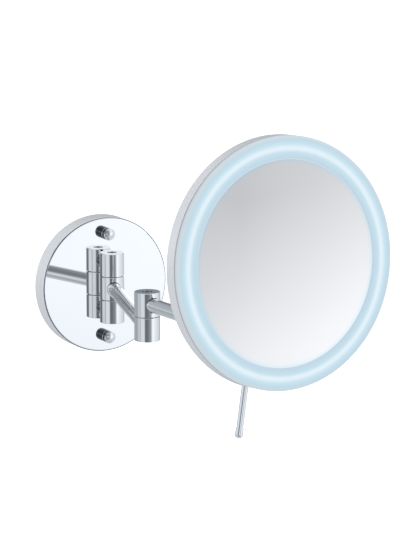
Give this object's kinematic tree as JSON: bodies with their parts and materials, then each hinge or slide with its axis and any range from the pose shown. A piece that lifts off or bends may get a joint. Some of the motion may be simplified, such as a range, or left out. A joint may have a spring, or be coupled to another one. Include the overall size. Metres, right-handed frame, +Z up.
{
  "type": "extendable shaving mirror",
  "caption": "Round lit magnifying mirror on a two-arm swing bracket with a wall rosette, swivel and tilt joints, rear battery housing and a handle rod.",
  "frame": {"origin": "centre of the rosette's back on the wall plane", "axes": "+Y into the wall, -Y out into the room, +Z up, +X to the right seen from the room"},
  "size_m": [0.2004, 0.419, 0.2488],
  "materials": {
    "chrome": "bright polished chrome",
    "steel": "zinc-plated or stainless steel",
    "mirror": "silvered concave glass",
    "opal": "opal acrylic, lit",
    "white_plastic": "white moulded plastic",
    "grey_plastic": "satin silver plastic",
    "black_plastic": "black moulded plastic",
    "nylon": "dark nylon",
    "circuit": "green circuit board",
    "diode": "light-emitting diode",
    "cell": "plain wrapped dry cell",
    "brass": "nickelled brass"
  },
  "bodies": {
    "wall": {"wall_bracket": "steel", "rosette": "chrome", "fixing_studs": "steel", "cap_collars": "chrome", "cap_nuts": "chrome", "backing_plate": "steel", "hinge_spacers": "chrome", "hinge_screws": "steel", "hinge_bottom": "chrome", "hinge_top": "chrome", "hinge_spindle": "steel", "hinge_clamp_screw": "steel", "hinge_washers": "nylon"},
    "arm_1": {"hinge_hub": "chrome", "arm_1_tube": "chrome", "arm_1_plugs": "brass", "elbow_lower_hub": "chrome", "elbow_pin": "steel", "elbow_clamp_screw": "steel", "elbow_washer": "nylon"},
    "arm_2": {"elbow_upper_hub": "chrome", "arm_2_tube": "chrome", "arm_2_plugs": "brass", "knuckle_lower_hub": "chrome", "knuckle_pin": "steel", "knuckle_clamp_screw": "steel", "knuckle_washer": "nylon"},
    "head_swivel": {"knuckle_upper_hub": "chrome", "tilt_tongue": "chrome"},
    "head": {"tilt_bracket": "chrome", "bracket_screws": "steel", "tilt_washers": "nylon", "tilt_bolt": "steel", "tilt_nut": "steel", "rim_casing": "chrome", "mirror_glass": "mirror", "light_ring": "opal", "reflector_tray": "white_plastic", "tray_screws": "steel", "light_board": "circuit", "diodes": "diode", "rear_housing": "grey_plastic", "housing_screws": "steel", "handle_socket": "chrome", "handle_rod": "chrome", "handle_tip": "chrome", "battery_tray": "black_plastic", "battery_cells": "cell", "contact_plates": "brass", "contact_springs": "steel", "driver_board": "circuit", "door_pin": "steel", "switch_body": "black_plastic", "switch_spring": "steel"},
    "door": {"battery_door": "grey_plastic", "door_screw": "steel"},
    "switch": {"switch_button": "black_plastic"}
  },
  "joints": [
    {"name": "wall_swivel", "type": "hinge", "parent": "wall", "child": "arm_1", "pos_m": [0, -0.0307, 0], "axis": [0, 0, 1], "range_deg": [-71.7, 104.3]},
    {"name": "elbow_swivel", "type": "hinge", "parent": "arm_1", "child": "arm_2", "pos_m": [-0.04892, -0.19799, 0], "axis": [0, 0, 1], "range_deg": [-135.5, 94.5]},
    {"name": "head_swivel", "type": "hinge", "parent": "arm_2", "child": "head_swivel", "pos_m": [-0.03851, -0.33971, 0], "axis": [0, 0, 1], "range_deg": [-91.1, 88.9]},
    {"name": "head_tilt", "type": "hinge", "parent": "head_swivel", "child": "head", "pos_m": [-0.0368, -0.35813, 0.0416], "axis": [-0.9957, -0.0924, 0], "range_deg": [-23.9, 36.1]},
    {"name": "door_hinge", "type": "hinge", "parent": "head", "child": "door", "pos_m": [-0.03655, -0.36085, 0.12503], "axis": [0.9957, 0.0924, 0], "range_deg": [0, 100]},
    {"name": "switch_press", "type": "slide", "parent": "head", "child": "switch", "axis": [0.0922, -0.9934, 0.068], "range_m": [0, 0.0015], "stiffness_N_per_m": 600, "springref_m": -0.0015, "deforming": ["switch_spring"]}
  ]
}
